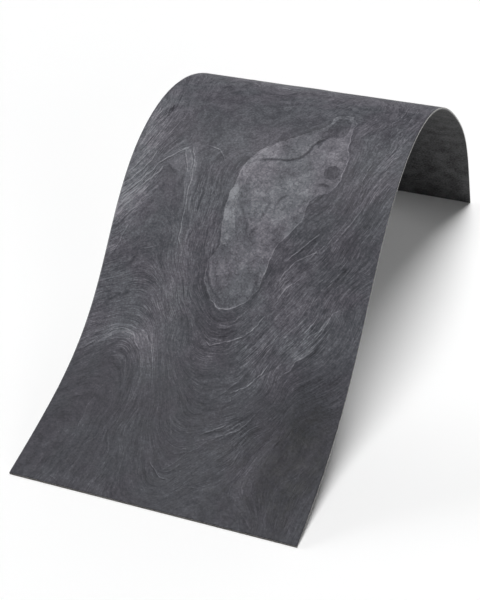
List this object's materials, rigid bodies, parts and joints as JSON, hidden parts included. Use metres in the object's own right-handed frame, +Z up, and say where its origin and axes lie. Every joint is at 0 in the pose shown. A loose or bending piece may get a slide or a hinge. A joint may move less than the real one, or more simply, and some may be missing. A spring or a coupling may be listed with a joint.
{
  "type": "slate veneer sheet",
  "caption": "Thin sheet of cleft slate veneer on a dark backing sheet, bent into an arch that stands on its front and rear cut edges.",
  "frame": {"origin": "middle of the space that the arch covers, on the surface it stands on", "axes": "+X across the sheet to the right seen from its front, +Y from the front edge to the rear edge, +Z up"},
  "size_m": [0.3, 0.7688, 0.2581],
  "materials": {
    "cleft_slate": "matte",
    "fibre_backing": "matte"
  },
  "bodies": {
    "root": {"slate_layer": "cleft_slate", "backing_sheet": "fibre_backing"}
  },
  "joints": []
}
